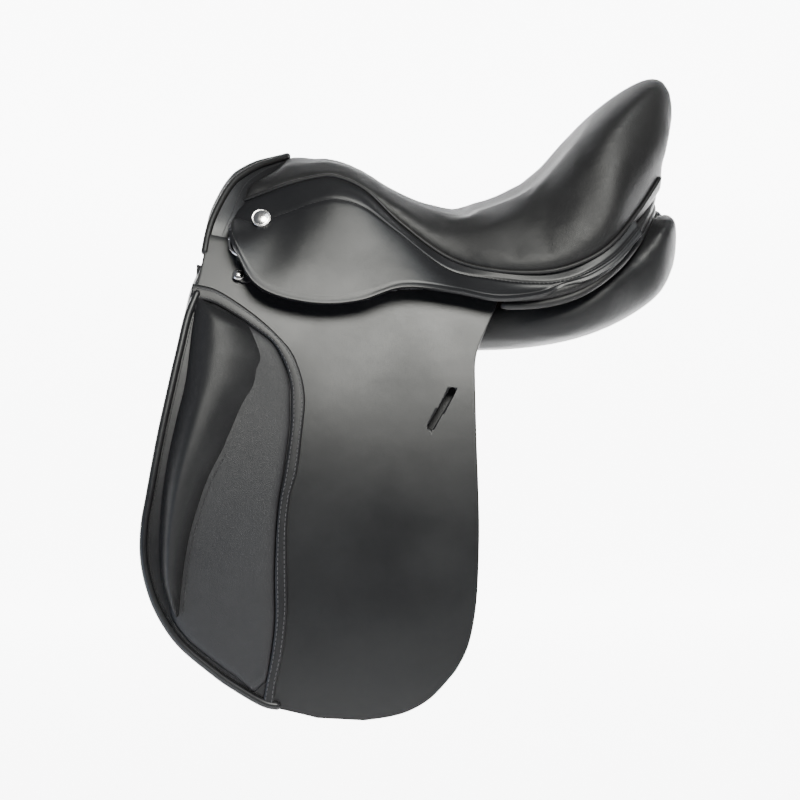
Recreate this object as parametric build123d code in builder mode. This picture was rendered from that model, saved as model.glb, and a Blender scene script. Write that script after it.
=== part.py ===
from build123d import *
import math
import os

# English saddle, dressage type. Millimetres.
# +X runs from pommel to cantle, +Y to the horse's off (right) side, +Z up.
# The origin lies in the centre plane under the seat's deepest point, level with the panels' bearing.
# Every paired piece is drawn on the near side (-Y) and mirrored to the off side.

# Leather layers of the side hang as arcs about a line along X.
CURVE_Y = 625
CURVE_Z = -330
SWEAT_R = (832, 835)
TREE_R = (836, 843)
BAR_PLATE_R = (843, 846.4)
WEB_R = (843.3, 845.3)
FRONT_BILLET_R = (836.6, 839.6)
REAR_BILLET_R = (841, 844.2)
FLAP_R = (847, 851.5)
BINDING_R = (851.5, 854)
PAD_R = (851.5, 857)
PIPING_R = (851.5, 859)
BLOCK_R = (857, 884)
BLOCK_CROWN = 876
BAR_R = (860, 866)
SKIRT_R = (872, 876)

REACH = 300           # how far a side outline is extruded outwards
HALF_LENGTH = 400     # half the length of the arc shells along X
HINGE_GAP = 3.2       # fixed leather ends this far above a hinge line
PIPE = 6              # width of the piped edges

# Hinge lines in side view: height at X = 0 and slope.
FLAP_HINGE = (2.8, -0.1638)
SKIRT_HINGE = (73, -0.2267)

# Tree
TREE_THICK = 9

# Seat
COVER_THICK = 3
FOAM_GAP = 0.3

os.makedirs("parts", exist_ok=True)


def arc_y(radius, height):
    """Y of the near side's arc of this radius at this height."""
    return CURVE_Y - math.sqrt(radius**2 - (height - CURVE_Z) ** 2)


def hinge_z(hinge, x):
    """Height of a hinge line at this X."""
    return hinge[0] + hinge[1] * x


def side_outline(points):
    """Straight-edged outline in side view, X and Z."""
    with BuildSketch(Plane.XZ) as outline:
        with BuildLine():
            Polyline(*points, close=True)
        make_face()
    return outline.sketch


def curved_outline(straight, curve):
    """Outline in side view: a smooth curve closed by a run of straight edges."""
    with BuildSketch(Plane.XZ) as outline:
        with BuildLine():
            Spline(*curve)
            Polyline(curve[-1], *straight, curve[0])
        make_face()
    return outline.sketch


def shell(radii):
    """Arc shell of the near side between two radii."""
    with BuildPart() as tube:
        with BuildSketch(Plane.YZ.offset(-HALF_LENGTH)):
            with Locations((CURVE_Y, CURVE_Z)):
                Circle(radii[1])
                Circle(radii[0], mode=Mode.SUBTRACT)
        extrude(amount=2 * HALF_LENGTH)
    return tube.part


def layer(outline, radii):
    """Piece of leather of this side outline lying between two radii."""
    with BuildPart() as piece:
        extrude(outline, amount=REACH, dir=(0, -1, 0))
        add(shell(radii), mode=Mode.INTERSECT)
    return piece.part


def section_loft(sections):
    """Straight loft through closed cross-sections, each an X and its Y, Z corners."""
    with BuildPart() as body:
        for x, corners in sections:
            with BuildSketch(Plane.YZ.offset(x)):
                with BuildLine():
                    Polyline(*corners, close=True)
                make_face()
        loft(ruled=True)
    return body.part


def radial_plane(radius, x, height):
    """Plane on the near side's arc, facing outwards, with its own X along the saddle."""
    outward = (0, (arc_y(radius, height) - CURVE_Y) / radius, (height - CURVE_Z) / radius)
    return Plane(origin=(x, arc_y(radius, height), height), x_dir=(1, 0, 0), z_dir=outward)


def pin(radii, x, height, size):
    """Round pin along the outward direction, from one radius to another."""
    with BuildPart() as shank:
        with BuildSketch(radial_plane(TREE_R[1], x, height).offset(radii[0] - TREE_R[1])):
            Circle(size)
        extrude(amount=radii[1] - radii[0])
    return shank.part


def inset(points, distance):
    """Open outline moved sideways, to the left of its own direction."""
    moved = []
    for i, (x, z) in enumerate(points):
        before = points[max(i - 1, 0)]
        after = points[min(i + 1, len(points) - 1)]
        step = distance / math.dist(before, after)
        moved.append((x - (after[1] - before[1]) * step, z + (after[0] - before[0]) * step))
    return moved


def shifted(line, run, rise):
    """Line in side view moved along X and Z."""
    return [(x + run, z + rise) for x, z in line]


def strip_along(low, high):
    """Band in side view between two lines, through the whole width."""
    with BuildPart() as band:
        extrude(side_outline([*low, *reversed(high)]), amount=REACH, dir=(0, -1, 0))
        mirror(about=Plane.XZ)
    return band.part


def octagon(centre, radius):
    """Eight corners round a point."""
    turns = [math.radians(22.5 + 45 * i) for i in range(8)]
    return [(centre[0] + radius * math.cos(a), centre[1] + radius * math.sin(a)) for a in turns]


def both_sides(near):
    """The near-side solid and its mirror image."""
    with BuildPart() as pair:
        add(near)
        mirror(near, about=Plane.XZ)
    return pair.part


def write(name, piece):
    """Names the piece and writes its file."""
    piece.part.label = name
    export_step(piece.part, f"parts/{name}.step")


def write_pair(name, near):
    """Writes the near-side piece and its mirror image."""
    write(f"{name}_left", near)
    with BuildPart() as far:
        mirror(near.part, about=Plane.XZ)
    write(f"{name}_right", far)


# ---------------------------------------------------------------- seat
# Stations of the seat: X, top at the centre, crest, rolled edge, welt, base height.
SEAT = [
    (-246, 193, (26, 188), (50, 174), (70, 156), 154),
    (-194, 193, (26, 189), (48, 178), (66, 164), 162),
    (-148, 186, (30, 188), (54, 186), (72, 176), 166),
    (-111, 165, (40, 170), (72, 168), (86, 155), 146),
    (-75, 140, (50, 148), (92, 138), (102, 122), 114),
    (-30, 131, (66, 137), (110, 112), (122, 93), 92),
    (20, 138, (76, 141), (128, 104), (136, 83), 81),
    (60, 161, (80, 161), (134, 107), (139, 84), 82),
    (100, 206, (78, 202), (131, 130), (136, 93), 91),
    (130, 240, (70, 232), (114, 162), (122, 112), 110),
    (160, 264, (54, 254), (80, 205), (92, 142), 138),
    (185, 274, (34, 268), (54, 232), (60, 173), 171),
    (202, 262, (24, 256), (36, 230), (42, 192), 190),
]
COVER_FRONT = [(-190, 196), (-204, 181), (-236, 166), (-243, 153), (-243, 140)]
CANTLE_BACK = [(203, 150), (188, 168), (187, 184), (192, 199), (200, 230), (201, 262), (192, 272)]
SIDE_TOP = 300
SIDE_BOTTOM = 60


def seat_body(trim, drop=0):
    """The seat, pared down by trim on its top, sides and ends, with its base lowered by drop."""
    sections = []
    for x, top, crest, edge, welt, base in SEAT:
        near = [(crest[0], crest[1] - trim), (edge[0] - trim, edge[1] - trim)]
        near += [(welt[0] - trim, welt[1]), (welt[0] - trim, base - drop)]
        far = [(-y, z) for y, z in reversed(near)]
        sections.append((x, [(0, top - trim), *near, *far]))
    front = [(x + trim, z) for x, z in reversed(COVER_FRONT)]
    back = [(x - trim, z) for x, z in reversed(CANTLE_BACK)]
    side = [*front, (front[-1][0], SIDE_TOP), (back[0][0], SIDE_TOP), *back]
    side += [(back[-1][0], SIDE_BOTTOM), (front[0][0], SIDE_BOTTOM)]
    with BuildPart() as body:
        add(section_loft(sections))
        with BuildPart(mode=Mode.PRIVATE) as block:
            extrude(side_outline(side), amount=REACH, dir=(0, -1, 0))
            mirror(about=Plane.XZ)
        add(block.part, mode=Mode.INTERSECT)
    return body.part


# ---------------------------------------------------------------- tree
# The tree's top line in side view, from the head to the cantle, and its thickness at each point.
TREE_TOP = [(-240, 158), (-190, 158), (-150, 146), (-111, 131), (-75, 104), (-30, 83)]
TREE_TOP += [(20, 73), (60, 84), (90, 112), (120, 156), (150, 206), (170, 238)]


def tree_drop(x):
    """Height of the tree's band, deeper where the cantle climbs."""
    return TREE_THICK if x < 80 else 2 * TREE_THICK


def tree_band(low, high, y_from, y_to, x_from=-300, x_to=300):
    """Band that follows the tree's top line, between two offsets from it and two Y planes."""
    line = [(x, z) for x, z in TREE_TOP if x_from < x < x_to]
    line = [(x_from, top_at(x_from)), *line] if x_from > TREE_TOP[0][0] else line
    line = [*line, (x_to, top_at(x_to))] if x_to < TREE_TOP[-1][0] else line
    above = [(x, z + high) for x, z in line]
    below = [(x, z + low - (tree_drop(x) if low < 0 else 0)) for x, z in reversed(line)]
    with BuildPart() as band:
        with BuildSketch(Plane.XZ.offset(-y_to)):
            with BuildLine():
                Polyline(*above, *below, close=True)
            make_face()
        extrude(amount=y_to - y_from)
    return band.part


def top_at(x):
    """Height of the tree's top line."""
    for (x0, z0), (x1, z1) in zip(TREE_TOP, TREE_TOP[1:]):
        if x0 <= x <= x1:
            return z0 + (z1 - z0) * (x - x0) / (x1 - x0)
    return TREE_TOP[-1][1]


def tree_plan(grow):
    """Prism of the tree seen from above: cut-back head, twist and round cantle."""
    near = [(-186, 0), (-230, 52), (-236, 52), (-236, 60)]
    near += [(-150, 72 + grow), (-75, 100 + grow), (-20, 112 + grow), (60, 114 + grow)]
    near += [(110, 98 + grow), (150, 68 + grow), (172 + grow, 34 + grow)]
    far = [(x, -y) for x, y in reversed(near[1:])]
    with BuildPart() as prism:
        with BuildSketch():
            with BuildLine():
                Polyline(*near, *far, close=True)
            make_face()
        extrude(amount=SIDE_TOP)
    return prism.part


def inside(radius):
    """Space that lies within this radius of both sides' curvature lines."""
    with BuildPart() as core:
        with BuildSketch(Plane.YZ.offset(-HALF_LENGTH)):
            with Locations((CURVE_Y, CURVE_Z)):
                Circle(radius)
            with Locations((-CURVE_Y, CURVE_Z)):
                Circle(radius, mode=Mode.INTERSECT)
        extrude(amount=2 * HALF_LENGTH)
    return core.part


SIDE_BAR = [(-236, 152), (-236, 52), (-206, 52), (-206, 66), (-60, 66), (-60, 92), (-111, 122)]
SIDE_BAR += [(-150, 140), (-190, 151)]
HEAD_RIVETS = [(-217, 86), (-217, 112)]
BAR_RIVETS = [(-156, 66), (-150, 78)]
HEAD_RIVET_R = 3
BAR_RIVET_R = 2.5
RIVET_REACH = (820, 850)   # radii spanned by every rivet hole
TREE_SLOT_X, TREE_SLOT_LENGTH, TREE_SLOT_WIDTH = -25, 150, 70
GULLET_R = (832.5, 835.8)
GULLET_SIDE = [(-230, 147.5), (-230, 74), (-208, 74), (-190, 147.5)]

with BuildPart() as tree:
    add(tree_band(-0.01, 0, -150, 150))
    add(tree_plan(0), mode=Mode.INTERSECT)
    add(inside(TREE_R[1] - 2), mode=Mode.INTERSECT)
    with BuildSketch():
        with Locations((TREE_SLOT_X, 0)):
            SlotOverall(TREE_SLOT_LENGTH, TREE_SLOT_WIDTH)
    extrude(amount=SIDE_TOP, mode=Mode.SUBTRACT)
    add(both_sides(layer(side_outline(SIDE_BAR), TREE_R)))
    for spot in HEAD_RIVETS:
        add(both_sides(pin(RIVET_REACH, *spot, HEAD_RIVET_R)), mode=Mode.SUBTRACT)
    for spot in BAR_RIVETS:
        add(both_sides(pin(RIVET_REACH, *spot, BAR_RIVET_R)), mode=Mode.SUBTRACT)
write("tree", tree)

with BuildPart() as gullet_plate:
    add(tree_plan(0))
    add(tree_band(-3.2, -TREE_THICK - 0.2, -58, 58, -232, -160), mode=Mode.INTERSECT)
    add(inside(GULLET_R[1] - 1), mode=Mode.INTERSECT)
    add(both_sides(layer(side_outline(GULLET_SIDE), GULLET_R)))
    for spot in HEAD_RIVETS:
        add(both_sides(pin(RIVET_REACH, *spot, HEAD_RIVET_R)), mode=Mode.SUBTRACT)
write("gullet_plate", gullet_plate)

with BuildPart() as head_plate:
    add(tree_plan(0))
    add(tree_band(0.2, 2.4, -48, 48, -228, -172), mode=Mode.INTERSECT)
write("head_plate", head_plate)

with BuildPart() as spring_bar:
    add(tree_band(-2.4, -TREE_THICK - 0.2, -64, -52, -148, 58))
write_pair("spring_bar", spring_bar)

with BuildPart() as tree_rivets:
    for spot in HEAD_RIVETS:
        add(both_sides(pin((831.4, 832.4), *spot, 4.5)))
        add(both_sides(pin((832.4, 843), *spot, HEAD_RIVET_R)))
write("tree_rivets", tree_rivets)

# ---------------------------------------------------------------- stirrup bars
BAR_FRONT, BAR_BACK, BAR_Z = -174, -88, 68
BAR_HEIGHT = 8
CATCH_X = -92
CATCH_PIN_R = 1.5
CATCH_LENGTH, CATCH_WIDTH, CATCH_THICK = 28, 7, 2.8
RUNNING_GAP = 0.05
TONGUE = 2.6
SPOOL_LENGTH, SPOOL_HEIGHT = 12, 14


def bar_plane(x, lift):
    """Plane of the bar's inner face, lifted outwards."""
    return radial_plane(BAR_R[0], x, BAR_Z).offset(lift)


with BuildPart() as stirrup_bar:
    add(layer(side_outline([(-178, 60), (-146, 60), (-146, 84), (-178, 84)]), BAR_PLATE_R))
    with BuildSketch(bar_plane(BAR_FRONT + SPOOL_LENGTH / 2, BAR_PLATE_R[1] - BAR_R[0] - 0.4)):
        Rectangle(SPOOL_LENGTH, SPOOL_HEIGHT)
    extrude(amount=BAR_R[0] - BAR_PLATE_R[1] + 1)
    with BuildSketch(bar_plane((BAR_FRONT + BAR_BACK) / 2, 0)):
        RectangleRounded(BAR_BACK - BAR_FRONT, BAR_HEIGHT, 3)
    extrude(amount=BAR_R[1] - BAR_R[0])
    with BuildSketch(bar_plane(BAR_BACK - 4, TONGUE)):
        Rectangle(20, 2 * BAR_HEIGHT)
    extrude(amount=10, mode=Mode.SUBTRACT)
    with BuildSketch(bar_plane(CATCH_X, -1)):
        Circle(CATCH_PIN_R)
    extrude(amount=8, mode=Mode.SUBTRACT)
    for spot in BAR_RIVETS:
        add(pin(RIVET_REACH, *spot, BAR_RIVET_R), mode=Mode.SUBTRACT)
write_pair("stirrup_bar", stirrup_bar)

with BuildPart() as stirrup_catch:
    with BuildSketch(bar_plane(CATCH_X, TONGUE + 0.4)):
        with Locations((CATCH_LENGTH / 2, 0)):
            SlotCenterToCenter(CATCH_LENGTH, CATCH_WIDTH)
        Circle(CATCH_PIN_R + RUNNING_GAP, mode=Mode.SUBTRACT)
    extrude(amount=CATCH_THICK)
write_pair("stirrup_catch", stirrup_catch)

with BuildPart() as catch_pins:
    with BuildSketch(bar_plane(CATCH_X, 0)):
        Circle(CATCH_PIN_R)
    extrude(amount=BAR_R[1] - BAR_R[0] + 0.4)
    mirror(about=Plane.XZ)
write("catch_pins", catch_pins)

with BuildPart() as bar_rivets:
    for spot in BAR_RIVETS:
        add(both_sides(pin((835.9, 846.4), *spot, BAR_RIVET_R)))
write("bar_rivets", bar_rivets)

# ---------------------------------------------------------------- webs
with BuildPart() as seat_web:
    add(tree_band(0.2, 2.0, -26, 26, -170, 118))
write("seat_web", seat_web)

with BuildPart() as cross_web:
    add(tree_band(2.3, 4.1, -92, 92, -58, -8))
write("cross_web", cross_web)

GIRTH_WEBS = {"front": (-140, -116), "rear": (-90, -66)}
WEB_END = 54
for place, (start, end) in GIRTH_WEBS.items():
    with BuildPart() as girth_web:
        add(tree_band(2.3, 4.3, -110, 110, start, end))
        add(inside(WEB_R[1]), mode=Mode.INTERSECT)
        side = [(start, WEB_END), (end, WEB_END), (end, top_at(end) + 3), (start, top_at(start) + 3)]
        add(both_sides(layer(side_outline(side), WEB_R)))
    write(f"girth_web_{place}", girth_web)

# ---------------------------------------------------------------- seat foam and cover
with BuildPart() as seat_foam:
    add(seat_body(COVER_THICK + FOAM_GAP))
    with BuildPart(mode=Mode.PRIVATE) as tree_room:
        add(tree_band(-3, 5.2, -150, 150))
        add(tree_plan(2), mode=Mode.INTERSECT)
    add(tree_room.part, mode=Mode.SUBTRACT)
    add(seat_foam.solids().sort_by(SortBy.VOLUME)[-1], mode=Mode.REPLACE)
write("seat_foam", seat_foam)

with BuildPart() as seat_cover:
    add(seat_body(0))
    add(seat_body(COVER_THICK, 8), mode=Mode.SUBTRACT)
write("seat_cover", seat_cover)

# ---------------------------------------------------------------- welt and skirt
WELT_R = 2.5
WELT_OUT, WELT_DROP = 3.3, 0.4      # the welt's centre from the cover's corner
WELT_LINE = [(-240, SEAT[0][4]), *[(station[0], station[4]) for station in SEAT[1:-1]]]
with BuildPart() as welt:
    add(section_loft([(x, octagon((-w[0] - WELT_OUT, w[1] - WELT_DROP), WELT_R)) for x, w in WELT_LINE]))
write_pair("welt", welt)

BAND_END = 44
BAND_BULGE = 6


def band_section(x, welt_point):
    """Thin section of the skirt's fixed band, from the welt to just above the hinge line."""
    y_top, z_top = -welt_point[0] - 0.8, welt_point[1] - 4.2
    z_low = hinge_z(SKIRT_HINGE, x) + HINGE_GAP
    inner, outer = arc_y(SKIRT_R[0], z_low), arc_y(SKIRT_R[1], z_low)
    z_mid = 0.55 * z_top + 0.45 * z_low
    y_mid = 0.55 * y_top + 0.45 * inner - BAND_BULGE * (z_top - z_low) / 40
    inside_face = [(y_top, z_top), (y_mid, z_mid), (inner, z_low)]
    outside_face = [(outer, z_low), (y_mid - 4.2, z_mid), (y_top - 4, z_top)]
    return (x, inside_face + outside_face)


with BuildPart() as skirt_band:
    band_line = [*WELT_LINE[:7], (BAND_END, (137.8, 83.4))]
    add(section_loft([band_section(x, w) for x, w in band_line]))
write_pair("skirt_band", skirt_band)

SKIRT_EDGE = [(-254, 130.6), (-252, 113), (-246, 95), (-238, 82), (-223, 69), (-206, 62), (-186, 58)]
SKIRT_EDGE += [(-162, 55), (-142, 54), (-120, 59), (-90, 69), (-66, 72), (-37, 67), (-5, 60), (18, 60)]
SKIRT_EDGE += [(36, 64.8)]
with BuildPart() as skirt:
    add(layer(curved_outline([], SKIRT_EDGE), SKIRT_R))
write_pair("skirt", skirt)

NAIL = (-225, 139)
NAIL_SEAT_R, NAIL_R, NAIL_RIM = 880, 9.5, 1.6
with BuildPart() as saddle_nail:
    with BuildSketch(radial_plane(NAIL_SEAT_R, *NAIL)):
        Circle(NAIL_R)
    extrude(amount=NAIL_RIM)
    with BuildSketch(radial_plane(NAIL_SEAT_R + NAIL_RIM - 0.1, *NAIL)):
        Circle(NAIL_R - 0.3)
    extrude(amount=2.6, taper=50)
write_pair("saddle_nail", saddle_nail)

# ---------------------------------------------------------------- pommel
POMMEL_FRONT = [(-196, 194), (-226, 185), (-251, 170), (-262, 155), (-273, 133), (-275, 126)]
ARCH = [(0, 193), (30, 186), (55, 172), (72, 157), (88, 133), (92, 126)]
FACING_THICK = 3
PIPING_THICK = 5
ARCH_FRONT, ARCH_DEPTH = -285, 100


def arch(thickness):
    """Arch of the pommel's leather, seen from the front, drawn out along X."""
    outer = [(-y, z) for y, z in reversed(ARCH)] + ARCH[1:]
    inner = inset(outer, -thickness)
    with BuildPart() as hoop:
        with BuildSketch(Plane.YZ.offset(ARCH_FRONT)):
            with BuildLine():
                Polyline(*outer, *reversed(inner), close=True)
            make_face()
        extrude(amount=ARCH_DEPTH)
    return hoop.part


with BuildPart() as pommel_facing:
    add(arch(FACING_THICK))
    front = [(-199, 191.5), *shifted(POMMEL_FRONT[1:], PIPING_THICK + 0.4, 0)]
    back = [(-195.5, 191.5), *shifted(COVER_FRONT[1:4], -0.6, 0), (-243.6, 126)]
    add(strip_along(front, back), mode=Mode.INTERSECT)
write("pommel_facing", pommel_facing)

with BuildPart() as pommel_piping:
    add(arch(PIPING_THICK))
    add(strip_along(POMMEL_FRONT, shifted(POMMEL_FRONT, PIPING_THICK, 0)), mode=Mode.INTERSECT)
write("pommel_piping", pommel_piping)

# ---------------------------------------------------------------- cantle facing and rolls
ROLL_START = 48
ROUND_START = 70
ROLL_OUTER = (122, 152)
ROLL_INNER = (114, 144)
UPPER_ROLL = [(48, 66), (79, 71), (104, 82), (130, 100), (159, 127), (178, 150), (189, 159), (196, 161)]
LOWER_ROLL = [(48, 49), (70, 52), (104, 65), (141, 93), (168, 121), (182, 134), (196, 144)]
ROLL_HALF = 5
FACING_OUTER = (119, 147)
FACING_INNER = (114, 142.5)


def wrap(outer, inner):
    """Wall round the cantle, seen from above: straight sides and a half ellipse behind."""
    with BuildPart() as wall:
        with BuildSketch():
            for axes, how in ((outer, Mode.ADD), (inner, Mode.SUBTRACT)):
                with BuildSketch(mode=Mode.PRIVATE) as shape:
                    with Locations((ROUND_START, 0)):
                        Ellipse(*axes)
                    with Locations((ROUND_START - REACH, 0)):
                        Rectangle(2 * REACH, 2 * REACH, mode=Mode.SUBTRACT)
                    with Locations(((ROLL_START + ROUND_START) / 2, 0)):
                        Rectangle(ROUND_START - ROLL_START, 2 * axes[1])
                add(shape.sketch, mode=how)
        extrude(amount=SIDE_TOP)
    return wall.part


def roll_along(line):
    """Roll round the cantle that follows this line in side view."""
    with BuildPart() as roll:
        add(wrap(ROLL_OUTER, ROLL_INNER))
        add(strip_along(shifted(line, 0, -ROLL_HALF), shifted(line, 0, ROLL_HALF)), mode=Mode.INTERSECT)
    return roll.part


with BuildPart() as cantle_roll:
    add(roll_along(UPPER_ROLL))
write("cantle_roll", cantle_roll)

with BuildPart() as panel_roll:
    add(roll_along(LOWER_ROLL))
write("panel_roll", panel_roll)

FACING_LOW = shifted(UPPER_ROLL[:-2], 0, ROLL_HALF + 0.2)
FACING_HIGH = [(48, 79), (79, 83.5), (100, 89), (130, 108), (160, 136), (178, 157)]
with BuildPart() as cantle_facing:
    add(wrap(FACING_OUTER, FACING_INNER))
    add(strip_along(FACING_LOW, FACING_HIGH), mode=Mode.INTERSECT)
write("cantle_facing", cantle_facing)

# ---------------------------------------------------------------- panels
# Stations of the near panel: X, then its corners from the channel round the outside to the top.
PANEL = [
    (-262, (-86, 46), (-112, 44), (-78, 112), (-58, 104)),
    (-200, (-90, -4), (-124, 10), (-67, 118), (-46, 108)),
    (-120, (-78, -6), (-127, 8), (-74, 108), (-38, 92)),
    (-40, (-58, 0), (-128, 10), (-98, 60), (-32, 58)),
    (30, (-50, 0), (-129, 13), (-112, 56), (-28, 56)),
    (100, (-44, 9), (-122, 22), (-128, 68), (-26, 70)),
    (150, (-38, 31), (-104, 40), (-104, 91), (-25, 92)),
    (182, (-35, 57), (-90, 62), (-86, 124), (-24, 124)),
    (200, (-38, 86), (-76, 88), (-72, 122), (-26, 121)),
]
with BuildPart() as panel:
    add(section_loft([(s[0], s[1:]) for s in PANEL]))
write_pair("panel", panel)

BRIDGE_X, BRIDGE_Z = -186, 119.5
BRIDGE_LENGTH, BRIDGE_WIDTH, BRIDGE_THICK = 36, 126, 3
with BuildPart() as panel_bridge:
    with BuildSketch(Plane.XY.offset(BRIDGE_Z)):
        with Locations((BRIDGE_X, 0)):
            Rectangle(BRIDGE_LENGTH, BRIDGE_WIDTH)
    extrude(amount=BRIDGE_THICK)
write("panel_bridge", panel_bridge)

SWEAT_EDGE = [(-286, 48), (-302, -20), (-320, -90), (-331, -160), (-326, -215), (-300, -262)]
SWEAT_EDGE += [(-255, -298), (-190, -322), (-120, -330), (-75, -318), (-45, -285), (-30, -230)]
SWEAT_EDGE += [(-26, -130), (-24, -20), (-14, 42)]
with BuildPart() as sweat_flap:
    add(layer(curved_outline([], SWEAT_EDGE), SWEAT_R))
write_pair("sweat_flap", sweat_flap)

POCKET = [(-242, 40), (-200, 40), (-200, 62), (-242, 62)]
POCKET_ROOM = [(-237, 51), (-205, 51), (-205, 70), (-237, 70)]
with BuildPart() as point_pocket:
    add(layer(side_outline(POCKET), (835.2, 846.2)))
    add(layer(side_outline(POCKET_ROOM), (835.7, 843.4)), mode=Mode.SUBTRACT)
write_pair("point_pocket", point_pocket)

# ---------------------------------------------------------------- flap
FLAP_FRONT = [(-296, 51), (-305, 22), (-314, -15), (-327, -72), (-338, -129), (-344, -182)]
FLAP_FRONT += [(-338, -219), (-322, -256), (-290, -292), (-256, -317), (-222, -334)]
FLAP_REAR = [(-189, -344), (-145, -352), (-101, -348), (-70, -336), (-42, -310), (-24, -275), (-15, -233)]
FLAP_REAR += [(-12, -150), (-12, -74), (-12, 4.8)]
BINDING_FRONT = [(-234, 33), (-213, 15), (-201, -7), (-196, -27), (-196, -50), (-198, -87), (-205, -121)]
BINDING_FRONT += [(-211, -163), (-213, -206), (-213, -250), (-217, -284), (-222, -311), (-226, -328)]
BINDING_WIDTH = 13
BINDING_START = (-223, 32)
SLOT_CENTRE, SLOT_LENGTH, SLOT_WIDTH, SLOT_TILT = (-47, -49), 44, 7, 57

SPOOL_WINDOW = [(-178, 53), (-158, 53), (-158, 75), (-178, 75)]
with BuildPart() as flap_head:
    low_front = hinge_z(FLAP_HINGE, -293) + HINGE_GAP
    low_rear = hinge_z(FLAP_HINGE, -11) + HINGE_GAP
    head = [(-293, low_front), (-292, 71), (-285, 84), (-281, 100), (-278, 116), (-276, 124.5)]
    head += [(-190, 124.5), (-110, 104), (-40, 74), (11, 60), (11, 52), (2, 33), (-8, 13), (-11, low_rear)]
    add(layer(side_outline(head), FLAP_R))
    extrude(side_outline(SPOOL_WINDOW), amount=REACH, dir=(0, -1, 0), mode=Mode.SUBTRACT)
write_pair("flap_head", flap_head)

with BuildPart() as flap:
    add(layer(curved_outline([], FLAP_FRONT + FLAP_REAR), FLAP_R))
    with BuildSketch(Plane.XZ):
        with Locations(SLOT_CENTRE):
            SlotOverall(SLOT_LENGTH, SLOT_WIDTH, rotation=SLOT_TILT)
    extrude(amount=REACH, mode=Mode.SUBTRACT)
write_pair("flap", flap)

FRONT_BELOW = [(-296.3, 49), *FLAP_FRONT[1:-1], (-238, -327)]
with BuildPart() as flap_piping:
    inner = inset(FRONT_BELOW, PIPE)
    add(layer(side_outline([*FRONT_BELOW, *reversed(inner)]), PIPING_R))
write_pair("flap_piping", flap_piping)

with BuildPart() as flap_binding:
    outer = [BINDING_START, *inset(BINDING_FRONT, BINDING_WIDTH)[1:]]
    add(layer(side_outline([*BINDING_FRONT, *reversed(outer)]), BINDING_R))
write_pair("flap_binding", flap_binding)

with BuildPart() as knee_pad:
    edge = inset(FRONT_BELOW, PIPE + 0.8)
    seam = inset(BINDING_FRONT, -0.8)
    add(layer(side_outline([*edge, *reversed(seam)]), PAD_R))
write_pair("knee_pad", knee_pad)

BLOCK_EDGE = [(-282, 46), (-262, 42), (-242, 36), (-231, 22), (-225, -1), (-229, -13), (-243, -44)]
BLOCK_EDGE += [(-263, -87), (-279, -117), (-294, -160), (-302, -197), (-306, -232), (-314, -234)]
BLOCK_EDGE += [(-323, -205), (-324, -170), (-320, -137), (-311, -86), (-296, -19), (-288, 28)]
with BuildPart() as thigh_block:
    add(layer(side_outline(BLOCK_EDGE), (BLOCK_R[0], BLOCK_CROWN)))
    with BuildSketch(Plane.XZ) as crown:
        add(side_outline(BLOCK_EDGE))
        offset(amount=BLOCK_CROWN - BLOCK_R[1], kind=Kind.INTERSECTION)
    add(layer(crown.sketch, (BLOCK_CROWN, BLOCK_R[1])))
write_pair("thigh_block", thigh_block)

# ---------------------------------------------------------------- billets
BILLET_WIDTH, BILLET_TOP, BILLET_END = 24, 51, -318
BILLET_HOLES, HOLE_PITCH, HOLE_R = 8, 25, 2.5
BILLET_TIP, TIP_HALF = 14, 6
BILLETS = {"front": FRONT_BILLET_R, "rear": REAR_BILLET_R}
for place, radii in BILLETS.items():
    middle = sum(GIRTH_WEBS[place]) / 2
    half = BILLET_WIDTH / 2
    shoulder = BILLET_END + BILLET_TIP
    strap = [(middle - half, BILLET_TOP), (middle - half, shoulder), (middle - TIP_HALF, BILLET_END)]
    strap += [(middle + TIP_HALF, BILLET_END), (middle + half, shoulder), (middle + half, BILLET_TOP)]
    with BuildPart() as billet:
        add(layer(side_outline(strap), radii))
        with BuildSketch(Plane.XZ):
            with Locations(*[(middle, BILLET_END + 30 + HOLE_PITCH * i) for i in range(BILLET_HOLES)]):
                Circle(HOLE_R)
        extrude(amount=REACH, mode=Mode.SUBTRACT)
    write_pair(f"billet_{place}", billet)

# ---------------------------------------------------------------- D-rings
RING_X, RING_Z, RING_R, RING_WIRE = -240, 116, 857.5, 2
RING_HALF, RING_LEG = 13, 6
RING_BAR_HALF, RING_BAR_R = 15.6, 2.2
CHAPE_R = (851.5, 855)
CHAPE_HALF, CHAPE_LOW, CHAPE_EYE_R = 9, 72, 5

ring_plane = radial_plane(RING_R, RING_X, RING_Z)

with BuildPart() as d_ring_chape:
    front, back = RING_X - CHAPE_HALF, RING_X + CHAPE_HALF
    strap = [(front, CHAPE_LOW), (back, CHAPE_LOW), (back, RING_Z), (front, RING_Z)]
    add(layer(side_outline(strap), CHAPE_R))
    with BuildSketch(Plane.YZ.offset(front)):
        with Locations((arc_y(RING_R, RING_Z), RING_Z)):
            Circle(CHAPE_EYE_R)
    extrude(amount=2 * CHAPE_HALF)
    with BuildSketch(Plane.YZ.offset(front)):
        with Locations((arc_y(RING_R, RING_Z), RING_Z)):
            Circle(RING_BAR_R + 0.4)
    extrude(amount=2 * CHAPE_HALF, mode=Mode.SUBTRACT)
    add(shell((800, CHAPE_R[0])), mode=Mode.SUBTRACT)
write_pair("d_ring_chape", d_ring_chape)

STUD = (-246, 80)
STUD_R, STUD_RIM = 5.5, 1
with BuildPart() as d_ring_stud:
    with BuildSketch(radial_plane(CHAPE_R[1] + 0.1, *STUD)):
        Circle(STUD_R)
    extrude(amount=STUD_RIM)
    with BuildSketch(radial_plane(CHAPE_R[1] + 0.1 + STUD_RIM, *STUD)):
        Circle(STUD_R - 0.2)
    extrude(amount=2, taper=45)
write_pair("d_ring_stud", d_ring_stud)

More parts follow.
